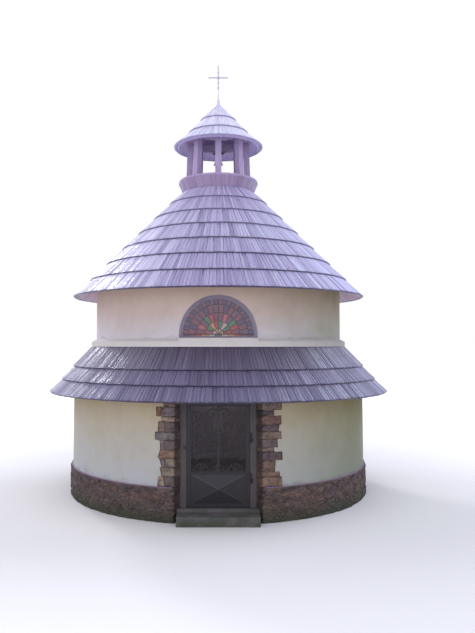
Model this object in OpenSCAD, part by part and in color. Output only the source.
// Round wayside chapel: a rubble-stone room under a shingled skirt roof, a narrower
// plastered drum with a half-round window, a stepped cone roof and an open bell lantern.
// Millimetres, +Z up, ground at z = 0, the doorway faces -Y, origin on the chapel's axis.

/* [Room and walls] */
// Radius of the round room inside the walls
room_r = 2160; // [1900:10:2400]
// Thickness of the drum's wall with its plaster
drum_wall = 264; // [235:2:300]
// How far the lower wall stands out past the drum
ledge_w = 421; // [370:5:470]
// Thickness of the plaster coat on the lower wall
coat_t = 30; // [20:1:45]
// Thickness of the plaster coat on the drum
drum_coat = 24; // [15:1:35]
// Height of the rubble plinth
plinth_h = 555; // [350:5:700]
// How far the plinth stands out from the wall's face
plinth_out = 30; // [10:1:60]
// Height of the floor's top above the ground
floor_z = 160; // [100:5:180]

/* [Doorway] */
// Half the clear width between the stone jambs
door_half = 512; // [420:2:560]
// Height of the threshold's top above the ground
threshold_z = 204; // [185:1:260]
// Height of the doorway from the threshold to the lintel
door_h = 1694; // [1500:2:1900]
// Height of the lintel itself
lintel_h = 140; // [100:5:180]
// How far the lintel bears on the wall past each side of the splay
lintel_bearing = 150; // [80:5:250]
// Width of each stone jamb
jamb_w = 103; // [70:1:140]
// Depth of each stone jamb
jamb_d = 150; // [120:5:220]
// Depth from the wall's face at its middle to the front of the jambs
jamb_setback = 225; // [170:5:280]
// How much the outer splay widens the opening on each side
outer_splay = 85; // [40:5:130]
// How much the inner splay widens the opening on each side
inner_splay = 125; // [60:5:200]
// Width of the stop that the leaf closes against
stop_w = 22; // [12:1:40]

/* [Step] */
// How far the entrance step runs past the stone jambs on each side
step_past = 40; // [0:5:120]
// Height of the entrance step
step_h = 150; // [100:5:180]
// How far the step's front edge lies in front of the wall's face
step_out = 155; // [60:5:320]

/* [Quoins] */
// Joint between two corner stones
quoin_joint = 12; // [6:1:20]
// Reach of the longest corner stone past the splay
quoin_long = 320; // [260:5:360]
// How far the corner stones stand out from the plaster
quoin_out = 6; // [2:1:15]

/* [Skirt roof] */
// How far the skirt roof's eave stands out past the lower wall
skirt_overhang = 460; // [390:2:520]
// How far the skirt roof's eave lies above the doorway's head
eave_over_door = 46; // [20:1:70]
// Pitch of the skirt roof in degrees
skirt_pitch = 46.8; // [43:0.1:51]
// Exposed length of the two lower courses
skirt_course = 325; // [280:5:370]
// Height of the skirt rafters' feet above the wall's edge
rafter_foot_h = 126; // [90:2:150]

/* [Band on the drum] */
// Height of the moulded band's upright face
band_h = 90; // [60:2:110]
// Height of the band's sloping top
band_slope = 50; // [20:2:70]
// How far the band stands out from the drum's face
band_out = 96; // [60:2:120]

/* [Half-round window] */
// Half the width of the window opening
window_half = 655; // [500:5:750]
// Height of the window opening above the band's top
window_up = 11; // [8:1:60]
// Height of the upright part below the half-circle
window_stilt = 60; // [50:5:90]
// Width of the window frame's outer moulding
frame_w = 34; // [20:1:45]
// Width of the window frame's inner moulding
frame_inner_w = 31; // [15:1:45]
// Height of the window frame's bottom bar
frame_foot_h = 26; // [20:1:60]
// Depth of the window frame
frame_d = 70; // [50:2:100]
// Thickness of the picture glass
glass_t = 12; // [8:1:20]
// How far the sill block reaches past the window on each side
sill_past = 10; // [0:2:80]
// How far the sill block stands out past the band
sill_out = 10; // [4:1:60]

/* [Roof build-up] */
// Thickness of the layered shingles at a butt
butt_t = 34; // [24:1:44]
// Thickness of a course at its upper end
thin_t = 8; // [4:1:14]
// Thickness of the boarding under the shingles
board_t = 30; // [20:1:36]
// Setback of the boarding from the shingle tips
board_setback = 45; // [30:5:80]
// Width of a rafter
rafter_w = 70; // [50:5:100]
// Number of rafters under the skirt roof
skirt_rafter_n = 24; // [12:4:36]
// Number of rafters under the main roof
main_rafter_n = 16; // [8:4:24]

/* [Main roof] */
// How far the main roof's eave stands out past the drum
main_overhang = 451; // [380:1:520]
// Height of the main roof's eave above the band's foot
main_eave_up = 976; // [880:2:1100]
// Pitch of the main roof in degrees
main_pitch = 45.3; // [42:0.1:50]
// Rise of one shingle course
main_rise = 316; // [280:1:350]
// Depth of the main rafters
main_rafter_d = 110; // [90:5:140]
// Width of the timber plate on the drum
plate_w = 190; // [120:5:200]
// Height of the timber plate on the drum
plate_h = 70; // [50:5:120]

/* [Lantern] */
// Radius of the posts' outer faces at the foot
post_foot_r = 654; // [580:2:730]
// How far the posts lean in from foot to head
post_lean = 28; // [0:1:60]
// Height of the posts
post_h = 771; // [680:1:860]
// Width and depth of a post
post_w = 120; // [90:2:140]
// Number of posts
post_n = 8; // [8:8]
// Thickness of the flared collar at its foot
collar_foot_w = 52; // [40:2:80]
// How far the collar flares out from foot to top
collar_flare = 85; // [60:1:105]
// Height of the collar
collar_h = 232; // [200:2:270]
// Height of the collar's upright edge
collar_edge = 30; // [20:2:50]
// Thickness of the lantern floor in the middle
lantern_floor_t = 30; // [22:1:45]
// How far the lantern roof's eave stands out past the posts
lantern_overhang = 259; // [220:1:300]
// How far the lantern roof's eave lies below the posts' heads
lantern_eave_drop = 89; // [60:1:110]
// Pitch of the lantern roof in degrees
lantern_pitch = 48.3; // [45:0.1:52]
// Rise of the lantern roof's lowest course
lantern_rise_1 = 300; // [270:1:325]
// Rise of the lantern roof's second course
lantern_rise_2 = 282; // [255:1:310]
// How far the lantern's lowest course is kicked out by its tilting fillet
lantern_kick = 34; // [10:2:44]

/* [Finial and cross] */
// Radius of the finial's foot
finial_foot_r = 60; // [50:1:70]
// Radius of the finial's stem
finial_stem_r = 10; // [8:1:14]
// Height of the finial
finial_h = 362; // [300:1:420]
// Height of the cross above the finial
cross_h = 505; // [440:1:580]
// Height of the cross's arms above the finial
cross_arm_up = 254; // [220:1:300]
// Length from tip to tip of the cross's arms
cross_w = 403; // [300:1:480]
// Width of the cross's flat bars
cross_bar_w = 22; // [14:1:32]
// Thickness of the cross's flat bars
cross_bar_t = 12; // [8:1:16]

/* [Bell] */
// Radius of the bell's mouth
bell_mouth_r = 97; // [80:1:110]
// Height of the bell from mouth to shoulder
bell_h = 185; // [160:1:210]
// Thickness of the bell's wall
bell_wall = 7; // [5:1:9]
// Distance from the axis that the bell swings about to the bell's shoulder
bell_drop = 50; // [44:1:57]
// Distance from the beam's underside to that axis
axis_drop = 42; // [34:1:50]
// Height of the beam
beam_h = 120; // [80:5:140]
// Width of the beam
beam_w = 100; // [60:5:112]
// How far the beam's top lies below the posts' heads
beam_drop = 25; // [10:1:60]
// Radius of the yoke's pins
gudgeon_r = 8; // [6:0.5:10]

/* [Door leaf] */
// Gap beside the leaf
leaf_gap = 6; // [5:0.5:8]
// Gap under and over the leaf
leaf_foot_gap = 8; // [6:0.5:12]
// Thickness of the leaf's iron frame
leaf_t = 44; // [30:1:50]
// Width of the frame's upright bars
stile_w = 54; // [40:1:70]
// Height of the frame's bottom and top bars
rail_h = 54; // [40:1:80]
// Height of the middle bar's top above the leaf's foot
mid_rail_h = 564; // [450:2:700]
// Height of the diamond point on the lower panel
diamond_h = 20; // [8:1:28]
// Width of the grille's centre bar
centre_bar_w = 30; // [20:1:40]
// Width of the grille's edge bars
edge_bar_w = 14; // [10:1:20]
// Width of the bars that the scrolls are bent from
scroll_w = 12; // [8:1:16]
// Radius of the hinge knuckles
knuckle_r = 14; // [11:0.5:16]
// Radius of the hinge pins
hinge_pin_r = 7; // [5:0.5:9]
// Length of one hinge, both halves together
hinge_l = 154; // [120:2:180]
// Height of the lower hinge's middle above the leaf's foot
hinge_low = 461; // [300:1:520]
// Height of the upper hinge's middle above the leaf's foot
hinge_high = 1106; // [980:1:1300]
// Height of the latch above the leaf's foot
latch_up = 947; // [830:1:1070]

/* [Hidden] */

$fn = 96;
// Steps of a full turn on the large round faces
round_n = 360;
// Clearance between curved faces that seat on each other
fit = 0.3;
// Joint between two neighbouring roof panels in degrees
panel_joint = 0.1;
// Joint between one shingle course and the next
course_gap = 1;
// A length past every outline, for cuts that go right through
past = 400;
// Gap between a rafter and the faces that it is cut to
rafter_gap = 1;

drum_r = room_r + drum_wall;
drum_core_r = drum_r - drum_coat;
wall_r = drum_r + ledge_w;
lintel_z = threshold_z + door_h;
wall_core_r = wall_r - coat_t;
plinth_r = wall_r + plinth_out;
jamb_front_y = -(wall_r - jamb_setback);
jamb_back_y = jamb_front_y + jamb_d;
bay_half = door_half + jamb_w;
// Distance from the axis to a round face along Y, at a distance x to the side
function face_y(r, x) = sqrt(r * r - x * x);
bay_face_half = bay_half + outer_splay;
bay_face_y = -face_y(wall_r, bay_face_half);
bay_room_half = bay_half + inner_splay;
bay_room_y = -face_y(room_r, bay_room_half);
lintel_half = bay_face_half + lintel_bearing;
// Half the width of the outer splay, carried on past the wall's face
function outer_half(y) = bay_half + outer_splay * (jamb_front_y - y) / (jamb_front_y - bay_face_y);
function inner_half(y) = bay_half + inner_splay * (y - jamb_back_y) / (bay_room_y - jamb_back_y);

// Plan of the splayed doorway, from in front of the plinth to inside the room
bay_past = 60;
bay_out_y = -(plinth_r + bay_past);
bay_in_y = bay_room_y + bay_past;
module bay_plan() {
  polygon([[outer_half(bay_out_y), bay_out_y], [bay_half, jamb_front_y], [bay_half, jamb_back_y],
           [inner_half(bay_in_y), bay_in_y], [-inner_half(bay_in_y), bay_in_y],
           [-bay_half, jamb_back_y], [-bay_half, jamb_front_y], [-outer_half(bay_out_y), bay_out_y]]);
}
module bay(z0, z1) {
  translate([0, 0, z0]) linear_extrude(z1 - z0) bay_plan();
}

// A ring between two radii and two heights, over part of a turn
module ring(r0, r1, z0, z1, from = 0, turn = 360) {
  rotate([0, 0, from]) rotate_extrude(angle = turn, $fn = round_n)
    polygon([[r0, z0], [r1, z0], [r1, z1], [r0, z1]]);
}
// A block between two corners
module block(a, b) {
  translate(a) cube(b - a);
}
// A flat profile drawn as radius and height, stood on a radial plane at an angle
module fin(angle, width) {
  rotate([0, 0, angle]) rotate([90, 0, 0]) linear_extrude(width, center = true) children();
}

// Roof sections: a point at a distance s up the slope from the eave and an offset o outwards
function on_slope(eave, pitch, s, o) =
  [eave[0] - s * cos(pitch) + o * sin(pitch), eave[1] + s * sin(pitch) + o * cos(pitch)];
// One shingle course from its butt at s0 to the next course at s1
function course(eave, pitch, s0, s1, top_t, kick = 0) =
  [on_slope(eave, pitch, s0, kick), on_slope(eave, pitch, s1 - course_gap, top_t - butt_t),
   on_slope(eave, pitch, s1 - course_gap, -butt_t), on_slope(eave, pitch, s0, kick - butt_t)];
board_top = -(butt_t + fit);
board_low = board_top - board_t;
function boards(eave, pitch, s0, s1) =
  [on_slope(eave, pitch, s0, board_top), on_slope(eave, pitch, s1, board_top),
   on_slope(eave, pitch, s1, board_low), on_slope(eave, pitch, s0, board_low)];

skirt_eave_r = wall_r + skirt_overhang;
skirt_eave_z = lintel_z + eave_over_door;
skirt_eave = [skirt_eave_r, skirt_eave_z];
// The skirt roof's face runs up to the lower edge of the band
band_r = drum_r + band_out;
band_z = skirt_eave_z + (skirt_eave_r - band_r) * tan(skirt_pitch);
band_top_z = band_z + band_h + band_slope;
skirt_butts = [0, skirt_course, 2 * skirt_course];
skirt_top_s = (band_z - skirt_eave_z) / sin(skirt_pitch);
skirt_board_s = (band_z - fit - skirt_eave_z - board_top * cos(skirt_pitch)) / sin(skirt_pitch);
// Height of the skirt rafters' top line at a radius
function skirt_under(r) = skirt_eave_z + (skirt_eave_r - r) * tan(skirt_pitch)
  + (board_low - fit) / cos(skirt_pitch) - rafter_gap;
ledge_z = skirt_under(wall_r) - rafter_foot_h;
skirt_head_r = wall_r - (band_z - fit - skirt_under(wall_r)) / tan(skirt_pitch);

// Main roof: its lines run parallel to the face at an offset
main_eave = [drum_r + main_overhang, band_z + main_eave_up];
function main_line(r, o) = main_eave[1] + (main_eave[0] - r) * tan(main_pitch) + o / cos(main_pitch);
// Distance up the slope at which a line at an offset reaches a radius
function main_s(r, o) = (main_eave[0] - r + o * sin(main_pitch)) / cos(main_pitch);
post_setback = 6;
collar_bore_r = post_foot_r + post_setback;
collar_foot_r = collar_bore_r + collar_foot_w;
collar_top_r = collar_foot_r + collar_flare;
crown_w = 90;
edge_gap = 2;
main_board_end = main_s(collar_bore_r + edge_gap, board_low);
main_shingle_end = main_s(collar_foot_r + edge_gap, board_top);
main_course_s = main_rise / sin(main_pitch);
main_course_n = round(main_shingle_end / main_course_s);
rafter_top_o = board_low - fit - rafter_gap;
rafter_low_o = rafter_top_o - main_rafter_d;
plate_setback = 20;
plate_in_r = room_r + plate_setback;
plate_out_r = plate_in_r + plate_w;
// Depth that the rafters are notched over the plate
plate_notch = 20;
plate_top_z = main_line((plate_in_r + plate_out_r) / 2, rafter_low_o) + plate_notch;
drum_top_z = plate_top_z - plate_h;

// Lantern: it stands on the main roof's boarding
collar_z = main_line(collar_foot_r, board_top) + fit;
collar_top_z = collar_z + collar_h;
floor_top_z = collar_top_z + lantern_floor_t;
post_head_z = floor_top_z + post_h;
post_head_r = post_foot_r - post_lean;
function post_out(z) = post_foot_r - post_lean * (z - floor_top_z) / post_h;
lantern_eave = [post_head_r + lantern_overhang, post_head_z - lantern_eave_drop];
function lantern_line(r, o) = lantern_eave[1] + (lantern_eave[0] - r) * tan(lantern_pitch)
  + o / cos(lantern_pitch);
function lantern_s(r, o) = (lantern_eave[0] - r + o * sin(lantern_pitch)) / cos(lantern_pitch);
lantern_butts = [0, lantern_rise_1 / sin(lantern_pitch),
                 (lantern_rise_1 + lantern_rise_2) / sin(lantern_pitch),
                 lantern_s(finial_foot_r + edge_gap, -butt_t)];
spire_r = 30;
lantern_board_end = lantern_s(spire_r, board_top);

// Floor, step and threshold
module floor_slab() color("dimgray")
  cylinder(r = room_r - fit, h = floor_z);

// How far the threshold runs out in front of the jambs
threshold_lip = 80;
threshold_front_y = jamb_front_y - threshold_lip;
step_half = bay_half + step_past;
module entrance_step() color("gray")
  block([-step_half, -(wall_r + step_out), 0], [step_half, threshold_front_y, step_h]);

module threshold() color("gray") difference() {
  intersection() {
    bay(0, threshold_z);
    block([-past - bay_half, threshold_front_y, -past], [past + bay_half, 0, past + threshold_z]);
  }
  translate([0, 0, -past]) cylinder(r = room_r, h = 2 * past + threshold_z, $fn = round_n);
}

// Plinth in two halves that meet at the back and stop at the doorway
module half_ring_cut(r0, r1, z0, z1, side) {
  difference() {
    ring(r0, r1, z0, z1, side > 0 ? -90 : 90, 180);
    bay(z0 - past, z1 + past);
  }
}
module plinth_left() color("rosybrown") half_ring_cut(room_r, plinth_r, 0, plinth_h, -1);
module plinth_right() color("rosybrown") half_ring_cut(room_r, plinth_r, 0, plinth_h, 1);

// Rubble walls in quarters that meet on the axes, the front ones cut for the doorway and lintel
module wall_quarter(from) ring(room_r, wall_core_r, plinth_h, ledge_z, from, 90);
module front_wall(from) difference() {
  wall_quarter(from);
  bay(0, lintel_z + lintel_h);
  block([-lintel_half, -(wall_r + past), lintel_z], [lintel_half, 0, ledge_z + past]);
}
module wall_left() color("tan") front_wall(180);
module wall_right() color("tan") front_wall(-90);
module wall_back_left() color("tan") wall_quarter(90);
module wall_back_right() color("tan") wall_quarter(0);
module lintel_band(z0, z1, r) intersection() {
  ring(room_r, r, z0, z1, 180, 180);
  block([-lintel_half, -(r + past), z0 - past], [lintel_half, 0, z1 + past]);
}
module wall_over_door() color("tan") lintel_band(lintel_z + lintel_h, ledge_z, wall_core_r);
module door_lintel() color("silver") lintel_band(lintel_z, lintel_z + lintel_h, wall_r + quoin_out);

// Stone jambs with the rebate that the leaf closes into
leaf_front_y = jamb_front_y - leaf_gap;
stop_y = leaf_front_y + leaf_t + leaf_gap;
module door_jambs() color("silver") for (side = [-1, 1])
  translate([0, 0, threshold_z]) linear_extrude(lintel_z - threshold_z) scale_x(side)
    polygon([[door_half, jamb_front_y], [bay_half, jamb_front_y], [bay_half, jamb_back_y],
             [door_half - stop_w, jamb_back_y], [door_half - stop_w, stop_y], [door_half, stop_y]]);
module scale_x(side) {
  if (side > 0) children();
  else mirror([1, 0, 0]) children();
}

// Corner stones, left and right of the doorway: the height of each row from the plinth up, and
// the stones as row, start, reach at the foot and reach at the top in shares of the longest reach
quoin_rows = [[150, 139, 133, 127, 145, 120, 155, 75, 145, 70],
              [133, 69, 150, 116, 58, 110, 104, 92, 121, 75, 110]];
quoin_stones = [
  [[0, 0, 0.44, 0.46], [0, 0.51, 0.84, 0.8], [1, 0, 0.64, 0.72], [2, 0, 0.41, 0.42],
   [2, 0.47, 0.62, 0.76], [3, 0, 0.84, 0.7], [4, 0, 0.39, 0.41], [4, 0.46, 0.7, 0.72],
   [5, 0, 0.99, 0.96], [6, 0, 0.42, 0.41], [6, 0.47, 0.83, 0.8], [7, 0, 0.66, 0.64],
   [8, 0, 0.62, 0.64], [8, 0.69, 0.9, 0.92], [9, 0, 0.53, 0.55]],
  [[0, 0, 1, 0.96], [1, 0, 0.88, 0.86], [2, 0, 0.62, 0.66], [3, 0, 1.02, 1], [4, 0, 0.6, 0.57],
   [5, 0, 0.78, 0.75], [6, 0, 0.97, 0.95], [7, 0, 0.82, 0.86], [8, 0, 0.97, 0.95],
   [9, 0, 0.6, 0.57], [10, 0, 0.98, 0.99]]];
function sum_to(heights, n) = n > 0 ? heights[n - 1] + sum_to(heights, n - 1) : 0;
function quoin_level(rows, row) = plinth_h
  + (lintel_z - plinth_h) * sum_to(rows, row) / sum_to(rows, len(rows));
function quoin_x(share) = bay_face_half + share * quoin_long;
// One stone between two radii, or with a margin the cut that its row makes in the plaster
module quoin_blank(side, stone, r0, r1, margin) {
  z0 = quoin_level(quoin_rows[side], stone[0]) + quoin_joint / 2 - margin;
  z1 = quoin_level(quoin_rows[side], stone[0] + 1) - quoin_joint / 2 + margin;
  x0 = stone[1] > 0 && margin == 0 ? quoin_x(stone[1]) : bay_half;
  scale_x(side - 0.5) intersection() {
    ring(r0, r1, 0, ledge_z, -90, 90);
    rotate([90, 0, 0]) linear_extrude(r1 + past)
      polygon([[x0, z0], [quoin_x(stone[2]) + margin, z0], [quoin_x(stone[3]) + margin, z1], [x0, z1]]);
  }
}
module door_quoins() color("sienna") difference() {
  for (side = [0, 1]) for (stone = quoin_stones[side])
    quoin_blank(side, stone, wall_core_r + fit, wall_r + quoin_out, 0);
  bay(0, ledge_z);
}

// Plaster coat of the lower wall with a toothed edge along the corner stones
module lower_plaster() color("cornsilk") difference() {
  ring(wall_core_r + fit, wall_r, plinth_h, ledge_z);
  bay(0, lintel_z);
  block([-lintel_half, -(wall_r + past), lintel_z], [lintel_half, 0, lintel_z + lintel_h]);
  for (side = [0, 1]) for (stone = quoin_stones[side])
    quoin_blank(side, stone, wall_core_r - coat_t, wall_r + coat_t, quoin_joint / 2 + fit);
}

// Skirt roof: brackets on the ledge, boards in panels between them, three courses
rafter_in_r = drum_core_r + rafter_gap;
rafter_out_r = wall_r - rafter_gap;
module skirt_rafters() color("saddlebrown") for (i = [0 : skirt_rafter_n - 1])
  fin((i + 0.5) * 360 / skirt_rafter_n, rafter_w)
    polygon([[rafter_in_r, ledge_z + fit], [rafter_out_r, ledge_z + fit],
             [rafter_out_r, skirt_under(rafter_out_r)],
             [skirt_head_r, band_z - fit], [rafter_in_r, band_z - fit]]);
module skirt_boarding() color("rosybrown") panels(2 * skirt_rafter_n)
  polygon(boards(skirt_eave, skirt_pitch, board_setback, skirt_board_s));
module skirt_shingles() color("slategray") for (i = [0 : 2])
  rotate_extrude() polygon(course(skirt_eave, skirt_pitch, skirt_butts[i],
    i < 2 ? skirt_butts[i + 1] : skirt_top_s, i < 2 ? thin_t : butt_t - thin_t));
// Roof boards in panels that meet over the rafters and midway between them
module panels(n) for (i = [0 : n - 1])
  rotate([0, 0, i * 360 / n + panel_joint / 2])
    rotate_extrude(angle = 360 / n - panel_joint) children();

// Moulded band around the drum's foot, and the sill block that breaks it
module base_band() color("linen") difference() {
  rotate_extrude($fn = round_n) polygon([[drum_core_r + fit, band_z], [band_r, band_z],
    [band_r, band_z + band_h], [drum_r, band_top_z], [drum_core_r + fit, band_top_z]]);
  block([-sill_half, -(drum_r + past), band_z - past], [sill_half, 0, window_z]);
}
window_z = band_top_z + window_up;
// Joint between the sill block and the window frame
sill_joint = 6;
sill_z = window_z - sill_joint;
sill_half = window_half + sill_past;
module window_sill() color("linen") intersection() {
  ring(drum_core_r + fit, band_r + sill_out, band_z, sill_z, 180, 180);
  block([-sill_half, -(drum_r + past), band_z], [sill_half, 0, sill_z]);
}

// Outline of the half-round window, made smaller by an inset that is less along the bottom bar
module window_outline(inset) {
  foot = inset > fit ? inset * frame_foot_h / (frame_w + frame_inner_w) : inset;
  intersection() {
    translate([0, window_z + window_stilt]) circle(r = window_half - inset, $fn = 180);
    translate([-window_half, window_z + window_stilt]) square([2 * window_half, window_half]);
  }
  translate([-(window_half - inset), window_z + foot])
    square([2 * (window_half - inset), window_stilt - foot]);
}
module window_prism(inset, y0, y1) {
  translate([0, y1, 0]) rotate([90, 0, 0]) linear_extrude(y1 - y0) window_outline(inset);
}

// Drum masonry: a front part with the window, and two sides that meet at the back
drum_foot_z = ledge_z + fit;
drum_split = drum_r * sin(50);
module drum_ring(from, turn) ring(room_r, drum_core_r, drum_foot_z, drum_top_z, from, turn);
module drum_front_block() block([-drum_split, -(drum_r + past), 0], [drum_split, 0, drum_top_z + past]);
module drum_front() color("wheat") difference() {
  intersection() {
    drum_ring(180, 180);
    drum_front_block();
  }
  window_prism(0, -(drum_r + past), 0);
}
module drum_side(side) difference() {
  drum_ring(side > 0 ? -90 : 90, 180);
  drum_front_block();
}
module drum_left() color("wheat") drum_side(-1);
module drum_right() color("wheat") drum_side(1);
// The plaster stops short of the boards over it
plaster_gap = 30;
plaster_top_z = min(drum_top_z, main_line(drum_r, board_low) - plaster_gap);
module drum_plaster() color("cornsilk") difference() {
  ring(drum_core_r + fit, drum_r, band_top_z, plaster_top_z);
  window_prism(0, -(drum_r + past), 0);
  block([-sill_half, -(drum_r + past), 0], [sill_half, 0, sill_z]);
}

// Stepped window frame with the picture glass in its rebate
frame_proud = 14;
frame_step = 16;
glass_rebate = 8;
frame_front_y = -face_y(drum_r, window_half) - frame_proud;
frame_back_y = frame_front_y + frame_d;
glass_y = frame_front_y + frame_d / 2;
module window_frame() color("gray") difference() {
  window_prism(fit, frame_front_y, frame_back_y);
  window_prism(frame_w, frame_front_y - past, frame_front_y + frame_step);
  window_prism(frame_w + frame_inner_w, frame_front_y - past, frame_back_y + past);
  window_prism(frame_w + glass_rebate, glass_y - fit, frame_back_y + past);
}
module window_glass() color("purple")
  window_prism(frame_w + glass_rebate + fit, glass_y, glass_y + glass_t);

// Timber plate on the drum, rafters that bear on it, and the ring at their heads
module wall_plate() color("saddlebrown") ring(plate_in_r, plate_out_r, drum_top_z, plate_top_z);
module main_rafters() color("saddlebrown") for (i = [0 : main_rafter_n - 1])
  fin((i + 0.5) * 360 / main_rafter_n, rafter_w) main_rafter_profile();
rafter_head_r = collar_bore_r + fit;
rafter_seat_z = plate_top_z + fit;
rafter_seat_r = main_eave[0] + (main_line(main_eave[0], rafter_low_o) - rafter_seat_z) / tan(main_pitch);
module main_rafter_profile() polygon([
  [rafter_head_r, main_line(rafter_head_r, rafter_low_o)], [rafter_seat_r, rafter_seat_z],
  [plate_out_r, rafter_seat_z], [plate_out_r, main_line(plate_out_r, rafter_top_o)],
  [rafter_head_r, main_line(rafter_head_r, rafter_top_o)]]);
crown_below = 20;
crown_above = 10;
module crown_ring() color("saddlebrown") ring(collar_bore_r - crown_w, collar_bore_r,
  main_line(collar_bore_r, rafter_low_o) - crown_below, main_line(collar_bore_r, rafter_top_o) + crown_above);
module main_boarding() color("rosybrown") panels(2 * main_rafter_n)
  polygon(boards(main_eave, main_pitch, board_setback, main_board_end));
module main_shingles() color("slategray") for (i = [0 : main_course_n - 1])
  rotate_extrude() polygon(course(main_eave, main_pitch, i * main_course_s,
    i < main_course_n - 1 ? (i + 1) * main_course_s : main_shingle_end, thin_t));

// Lantern: flared collar, floor with a sloping edge, leaning posts, ring, roof
module lantern_collar() color("slategray") rotate_extrude() polygon([
  [collar_bore_r, main_line(collar_bore_r, board_top) + fit],
  [collar_foot_r, main_line(collar_foot_r, board_top) + fit],
  [collar_top_r, collar_top_z - collar_edge], [collar_top_r, collar_top_z],
  [collar_bore_r, collar_top_z]]);
floor_lip = 12;
module lantern_floor() color("slategray") rotate_extrude() polygon([
  [0, collar_top_z], [collar_top_r, collar_top_z], [collar_top_r, collar_top_z + floor_lip],
  [post_foot_r, floor_top_z], [0, floor_top_z]]);
module lantern_posts() color("rosybrown") for (i = [0 : post_n - 1])
  fin(i * 360 / post_n, post_w) polygon([
    [post_foot_r - post_w, floor_top_z], [post_foot_r, floor_top_z],
    [post_head_r, post_head_z], [post_head_r - post_w, post_head_z]]);
head_ring_past = 5;
plate_ring_in = post_head_r - post_w - head_ring_past;
module lantern_plate() color("rosybrown") rotate_extrude() polygon([
  [plate_ring_in, post_head_z + fit], [post_head_r, post_head_z + fit],
  [post_head_r, lantern_line(post_head_r, board_low) - fit],
  [plate_ring_in, lantern_line(plate_ring_in, board_low) - fit]]);
// The boards carry a wedge that tilts the lowest course
wedge_end = lantern_butts[1] - course_gap;
wedge_t = lantern_kick * (1 - board_setback / wedge_end);
module lantern_boarding() color("rosybrown") panels(2 * post_n) polygon([
  on_slope(lantern_eave, lantern_pitch, board_setback, board_top + wedge_t),
  on_slope(lantern_eave, lantern_pitch, wedge_end, board_top),
  on_slope(lantern_eave, lantern_pitch, lantern_board_end, board_top),
  on_slope(lantern_eave, lantern_pitch, lantern_board_end, board_low),
  on_slope(lantern_eave, lantern_pitch, board_setback, board_low)]);
module lantern_shingles() color("slategray") for (i = [0 : 2])
  rotate_extrude() polygon(course(lantern_eave, lantern_pitch, lantern_butts[i], lantern_butts[i + 1],
    thin_t, i == 0 ? lantern_kick : 0));

// Finial: a concave spike that caps the boarding, and the cross on its stem
finial_seat_z = lantern_line(finial_foot_r, board_top) + fit;
finial_top_z = finial_seat_z + finial_h;
spire_z = lantern_line(spire_r, board_top) + fit;
finial_rim_h = 24;
finial_neck_h = 10;
finial_inset = 8;
finial_neck_z = finial_seat_z + finial_rim_h + finial_neck_h;
finial_shoulder_r = finial_foot_r - finial_inset;
finial_steps = 10;
function finial_r(t) = finial_stem_r + (finial_shoulder_r - finial_stem_r) * pow(1 - t, 2.2);
module finial() color("slategray") rotate_extrude() polygon(concat(
  [[0, spire_z], [spire_r, spire_z], [finial_foot_r, finial_seat_z],
   [finial_foot_r, finial_seat_z + finial_rim_h]],
  [for (i = [0 : finial_steps]) [finial_r(i / finial_steps),
    finial_neck_z + (finial_top_z - finial_neck_z) * i / finial_steps]],
  [[0, finial_top_z]]));
cross_top_z = finial_top_z + cross_h;
cross_arm_z = finial_top_z + cross_arm_up;
// Collars forged round the cross's bars, and the boss where they meet
collar_half = cross_bar_w * 0.8;
collar_half_h = 9;
foot_collar_up = 40;
arm_collar = 110;
boss_r = cross_bar_w * 1.35;
boss_proud = 2;
module cross() color("dimgray") {
  block([-cross_bar_w / 2, -cross_bar_t / 2, finial_top_z], [cross_bar_w / 2, cross_bar_t / 2, cross_top_z]);
  block([-cross_w / 2, -cross_bar_t / 2, cross_arm_z - cross_bar_w / 2],
        [cross_w / 2, cross_bar_t / 2, cross_arm_z + cross_bar_w / 2]);
  translate([0, cross_bar_t / 2 + boss_proud, cross_arm_z]) rotate([90, 0, 0])
    cylinder(r = boss_r, h = cross_bar_t + 2 * boss_proud);
  for (z = [finial_top_z + foot_collar_up, cross_arm_z - arm_collar, cross_arm_z + arm_collar])
    block([-collar_half, -cross_bar_t * 0.8, z - collar_half_h],
          [collar_half, cross_bar_t * 0.8, z + collar_half_h]);
}

// Beam across the lantern, the two iron hangers under it, and the swinging bell
beam_top_z = post_head_z - beam_drop;
beam_z = beam_top_z - beam_h;
bell_axis_z = beam_z - axis_drop;
function beam_reach(z) = post_out(z) - post_w;
module bell_beam() color("saddlebrown") rotate([90, 0, 0]) linear_extrude(beam_w, center = true)
  polygon([[beam_reach(beam_z), beam_z], [beam_reach(beam_top_z), beam_top_z],
           [-beam_reach(beam_top_z), beam_top_z], [-beam_reach(beam_z), beam_z]]);
// Iron hangers with an eye for the yoke's pins and a foot under the beam
hanger_x = bell_mouth_r + 18;
hanger_t = 8;
hanger_half = 20;
hanger_foot_half = 35;
hanger_foot_l = 50;
hanger_foot_t = 7;
hanger_in = hanger_x - hanger_t / 2;
hanger_out = hanger_x + hanger_t / 2;
// A round bar along X through the axis that the bell swings about
module pin_x(x0, x1, z, r) translate([x0, 0, z]) rotate([0, 90, 0]) cylinder(r = r, h = x1 - x0);
module bell_hangers() color("dimgray") for (side = [-1, 1]) scale_x(side) difference() {
  union() {
    block([hanger_in, -hanger_half, bell_axis_z], [hanger_out, hanger_half, beam_z]);
    pin_x(hanger_in, hanger_out, bell_axis_z, hanger_half);
    block([hanger_in, -hanger_foot_half, beam_z - hanger_foot_t],
          [hanger_x + hanger_foot_l, hanger_foot_half, beam_z]);
  }
  pin_x(hanger_in - past, hanger_out + past, bell_axis_z, gudgeon_r + fit);
}
yoke_gap = 5;
yoke_half = hanger_in - yoke_gap;
yoke_h = 44;
pin_past = 10;
module bell_yoke() color("dimgray") {
  block([-yoke_half, -yoke_h / 2, bell_axis_z - yoke_h / 2], [yoke_half, yoke_h / 2, bell_axis_z + yoke_h / 2]);
  pin_x(-(hanger_out + pin_past), hanger_out + pin_past, bell_axis_z, gudgeon_r);
}
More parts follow.
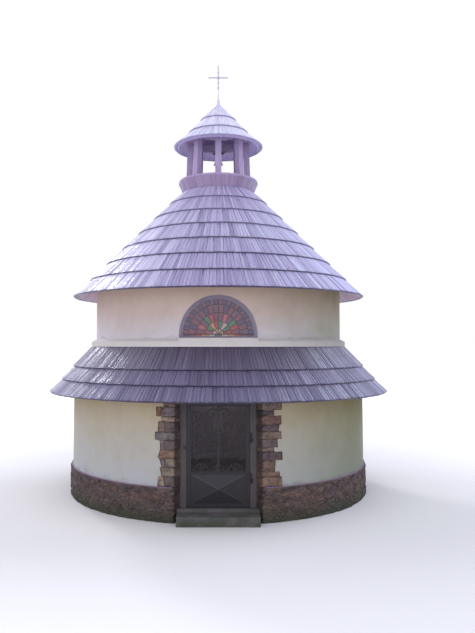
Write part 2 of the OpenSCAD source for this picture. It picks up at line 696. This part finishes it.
shoulder_z = bell_axis_z - bell_drop;
mouth_z = shoulder_z - bell_h;
bell_steps = 12;
shoulder_r = bell_mouth_r / 2;
crown_in_z = shoulder_z - bell_wall - 4;
crown_pin_r = 16;
// Outer radius of the bell at a share of the way from shoulder to mouth
function bell_out(t) = shoulder_r + (bell_mouth_r - shoulder_r) * (0.35 * t + 0.65 * pow(t, 3));
function bell_level(t) = shoulder_z - bell_h * t;
// The clapper hangs from a pin between two lugs under the crown
clapper_z = shoulder_z - 22;
lug_x = 12;
lug_half = 3;
lug_half_y = 7;
clapper_pin_r = 3.5;
module bell() color("darkgoldenrod") {
  rotate_extrude() polygon(concat(
    [[0, shoulder_z], [shoulder_r * 0.7, shoulder_z]],
    [for (i = [1 : bell_steps]) [bell_out(i / bell_steps), bell_level(i / bell_steps)]],
    [for (i = [bell_steps : -1 : 1]) [bell_out(i / bell_steps) - bell_wall, bell_level(i / bell_steps)]],
    [[0, crown_in_z]]));
  translate([0, 0, shoulder_z - 1]) cylinder(r = crown_pin_r, h = bell_drop - yoke_h / 2 + 1);
  for (side = [-1, 1]) block([side * lug_x - lug_half, -lug_half_y, clapper_z - lug_half_y],
                             [side * lug_x + lug_half, lug_half_y, shoulder_z - bell_wall]);
  pin_x(-lug_x, lug_x, clapper_z, clapper_pin_r);
}
clapper_l = bell_h - 45;
clapper_eye_r = 8;
clapper_eye_half = 4;
clapper_rod_r = 4;
clapper_ball_r = 17;
module bell_clapper() color("dimgray") difference() {
  union() {
    pin_x(-clapper_eye_half, clapper_eye_half, clapper_z, clapper_eye_r);
    translate([0, 0, clapper_z - clapper_l]) cylinder(r = clapper_rod_r, h = clapper_l - clapper_eye_r + 2);
    translate([0, 0, clapper_z - clapper_l]) sphere(r = clapper_ball_r);
  }
  pin_x(-lug_x, lug_x, clapper_z, clapper_pin_r + fit);
}

// Door leaf: iron frame, diamond-point panel, wrought grille, lift-off hinges, latch
leaf_half = door_half - leaf_gap;
leaf_z0 = threshold_z + leaf_foot_gap;
leaf_z1 = lintel_z - leaf_foot_gap;
leaf_back_y = leaf_front_y + leaf_t;
inner_half_w = leaf_half - stile_w;
grille_z0 = leaf_z0 + mid_rail_h;
grille_z1 = leaf_z1 - rail_h;
panel_z0 = leaf_z0 + rail_h;
panel_z1 = grille_z0 - rail_h * 0.7;
module door_frame() color([0.13, 0.13, 0.14]) difference() {
  block([-leaf_half, leaf_front_y, leaf_z0], [leaf_half, leaf_back_y, leaf_z1]);
  block([-inner_half_w, leaf_front_y - past, panel_z0], [inner_half_w, leaf_back_y + past, panel_z1]);
  block([-inner_half_w, leaf_front_y - past, grille_z0], [inner_half_w, leaf_back_y + past, grille_z1]);
}
panel_setback = 14;
panel_t = 8;
panel_edge = 8;
panel_y = leaf_front_y + panel_setback;
module door_panel() color([0.13, 0.13, 0.14]) {
  block([-inner_half_w, panel_y, panel_z0], [inner_half_w, panel_y + panel_t, panel_z1]);
  diamond_point(inner_half_w - panel_edge, panel_z0 + panel_edge, panel_z1 - panel_edge);
}
// A four-sided point as two ridge prisms that cross
module diamond_point(half, z0, z1) intersection() {
  translate([0, 0, z0]) linear_extrude(z1 - z0)
    polygon([[-half, panel_y + 1], [0, panel_y - diamond_h], [half, panel_y + 1]]);
  translate([half, 0, 0]) rotate([0, -90, 0]) linear_extrude(2 * half)
    polygon([[z0, panel_y + 1], [(z0 + z1) / 2, panel_y - diamond_h], [z1, panel_y + 1]]);
}

// Wrought grille: edge bars, a centre bar with a short cross bar, and scrolls bent from flat bar.
// The scrolls are laid out in units of the half width between the edge bar and the middle.
grille_setback = 10;
grille_y = leaf_front_y + grille_setback;
grille_t = 12;
scroll_t = 8;
scroll_unit = inner_half_w - edge_bar_w;
scroll_steps = 30;
module grille_plane(t) translate([0, grille_y + (grille_t + t) / 2, 0]) rotate([90, 0, 0])
  linear_extrude(t) children();
module grille_bar(x0, z0, x1, z1) translate([x0, z0]) square([x1 - x0, z1 - z0]);
// A spiral band that starts at a radius and an angle and closes in to a share of that radius
function spiral_r(r, t, keep) = r * (1 - (1 - keep) * pow(t, 0.85));
function spiral(c, r, from, turn, keep, side, steps) = [for (i = steps)
  let (t = i / scroll_steps, q = spiral_r(r, t, keep) + side * scroll_w / 2, a = from + turn * t)
  [c[0] + q * cos(a), c[1] + q * sin(a)]];
module scroll(c, r, from, turn, keep) {
  polygon(concat(spiral(c, r, from, turn, keep, 1, [0 : scroll_steps]),
                 spiral(c, r, from, turn, keep, -1, [scroll_steps : -1 : 0])));
  end_r = spiral_r(r, 1, keep);
  end_a = from + turn;
  translate([c[0] + end_r * cos(end_a), c[1] + end_r * sin(end_a)]) circle(r = scroll_w * 0.85, $fn = 12);
}
// A ring of the same bar, or its upper half
module hoop(c, r, half = false) translate(c) difference() {
  circle(r = r + scroll_w / 2);
  circle(r = r - scroll_w / 2);
  if (half) translate([-2 * r, -2 * r]) square([4 * r, 2 * r]);
}
module both_sides() {
  children();
  mirror([1, 0]) children();
}
// Levels of the ring in the middle and of the lyre above it
grille_h = grille_z1 - grille_z0;
ring_level = grille_z0 + grille_h * 0.365;
lyre_level = grille_z0 + grille_h * 0.76;
foot_level = grille_z0 + edge_bar_w / 2;
module grille_scrolls() {
  // Two hoops on the bottom bar and a fan on each side of them
  for (r = [0.11, 0.225]) hoop([0, foot_level], r * scroll_unit, true);
  both_sides() {
    hoop([0.63 * scroll_unit, foot_level], 0.27 * scroll_unit, true);
    for (a = [-38, 0, 38]) translate([0.63 * scroll_unit, foot_level]) rotate(a)
      translate([-scroll_w / 2, 0]) square([scroll_w, 0.27 * scroll_unit]);
  }
  // A ring across the centre bar with a short bar in it
  hoop([0, ring_level], 0.5 * scroll_unit);
  translate([-0.41 * scroll_unit, ring_level - 0.16 * scroll_unit]) square([0.82 * scroll_unit, scroll_w]);
  both_sides() {
    // Scrolls that spring from the edge bars beside the ring
    scroll([0.77 * scroll_unit, ring_level + 0.34 * scroll_unit], 0.24 * scroll_unit, -10, 400, 0.3);
    scroll([0.77 * scroll_unit, ring_level - 0.24 * scroll_unit], 0.24 * scroll_unit, 10, -400, 0.3);
    // A lyre on the centre bar, and its small scrolls under the top bar
    scroll([0.31 * scroll_unit, lyre_level - 0.2 * scroll_unit], 0.31 * scroll_unit, 190, 400, 0.25);
    scroll([0.24 * scroll_unit, lyre_level + 0.26 * scroll_unit], 0.24 * scroll_unit, 170, -380, 0.3);
    scroll([0.78 * scroll_unit, lyre_level + 0.2 * scroll_unit], 0.23 * scroll_unit, -15, 380, 0.3);
  }
}
module door_grille() color([0.13, 0.13, 0.14]) {
  grille_plane(grille_t) {
    grille_bar(-inner_half_w, grille_z0, -scroll_unit, grille_z1);
    grille_bar(scroll_unit, grille_z0, inner_half_w, grille_z1);
    grille_bar(-inner_half_w, grille_z0, inner_half_w, grille_z0 + edge_bar_w);
    grille_bar(-inner_half_w, grille_z1 - edge_bar_w, inner_half_w, grille_z1);
    grille_bar(-centre_bar_w / 2, grille_z0, centre_bar_w / 2, grille_z1);
  }
  grille_plane(scroll_t) grille_scrolls();
}

// Lift-off hinges: a pin on the jamb, a socket on the leaf above it
hinge_side_gap = 7;
hinge_x = door_half + hinge_side_gap;
hinge_y = jamb_front_y - leaf_gap - knuckle_r;
hinge_zs = [leaf_z0 + hinge_low, leaf_z0 + hinge_high];
hinge_half = hinge_l / 2;
hinge_lift = 1;
pin_short = 11;
hinge_plate_t = 8;
hinge_plate_w = 44;
hinge_web_t = 12;
strap_short = 4;
socket_short = 5;
module hinge_pins() color([0.2, 0.2, 0.2]) for (z = hinge_zs) {
  translate([hinge_x, hinge_y, z - hinge_half]) cylinder(r = knuckle_r, h = hinge_half);
  translate([hinge_x, hinge_y, z - hinge_lift]) cylinder(r = hinge_pin_r, h = hinge_half - pin_short);
  block([hinge_x, hinge_y, z - hinge_half], [hinge_x + hinge_web_t, jamb_front_y, z - hinge_lift]);
  block([hinge_x, jamb_front_y - hinge_plate_t, z - hinge_half],
        [hinge_x + hinge_plate_w, jamb_front_y, z - hinge_lift]);
}
module door_hinge_straps() color([0.2, 0.2, 0.2]) for (z = hinge_zs) difference() {
  union() {
    translate([hinge_x, hinge_y, z + fit]) cylinder(r = knuckle_r, h = hinge_half - fit);
    block([leaf_half - stile_w, leaf_front_y - hinge_plate_t, z + fit],
          [hinge_x - strap_short, leaf_front_y, z + hinge_half]);
  }
  translate([hinge_x, hinge_y, z - socket_short]) cylinder(r = hinge_pin_r + fit, h = hinge_half - socket_short);
}
// Latch bar across the gap to the jamb, with its ring handle
latch_z = leaf_z0 + latch_up;
latch_half_h = 17;
latch_reach = 48;
latch_on_leaf = 36;
latch_ring_r = 23;
latch_ring_t = 15;
module door_latch() color([0.2, 0.2, 0.2]) {
  block([-(door_half + latch_reach), leaf_front_y - hinge_plate_t, latch_z - latch_half_h],
        [-(leaf_half - latch_on_leaf), leaf_front_y, latch_z + latch_half_h]);
  translate([-(door_half + latch_reach - latch_ring_r), leaf_front_y - hinge_plate_t + 1, latch_z])
    rotate([90, 0, 0]) cylinder(r = latch_ring_r, h = latch_ring_t);
}

floor_slab();
entrance_step();
threshold();
plinth_left();
plinth_right();
wall_left();
wall_right();
wall_back_left();
wall_back_right();
wall_over_door();
door_lintel();
door_jambs();
lower_plaster();
door_quoins();
skirt_rafters();
skirt_boarding();
skirt_shingles();
base_band();
window_sill();
drum_front();
drum_left();
drum_right();
drum_plaster();
window_frame();
window_glass();
wall_plate();
main_rafters();
main_boarding();
main_shingles();
crown_ring();
lantern_collar();
lantern_floor();
lantern_posts();
lantern_plate();
lantern_boarding();
lantern_shingles();
finial();
cross();
bell_beam();
bell_hangers();
hinge_pins();
door_frame();
door_panel();
door_grille();
door_hinge_straps();
door_latch();
bell();
bell_yoke();
bell_clapper();
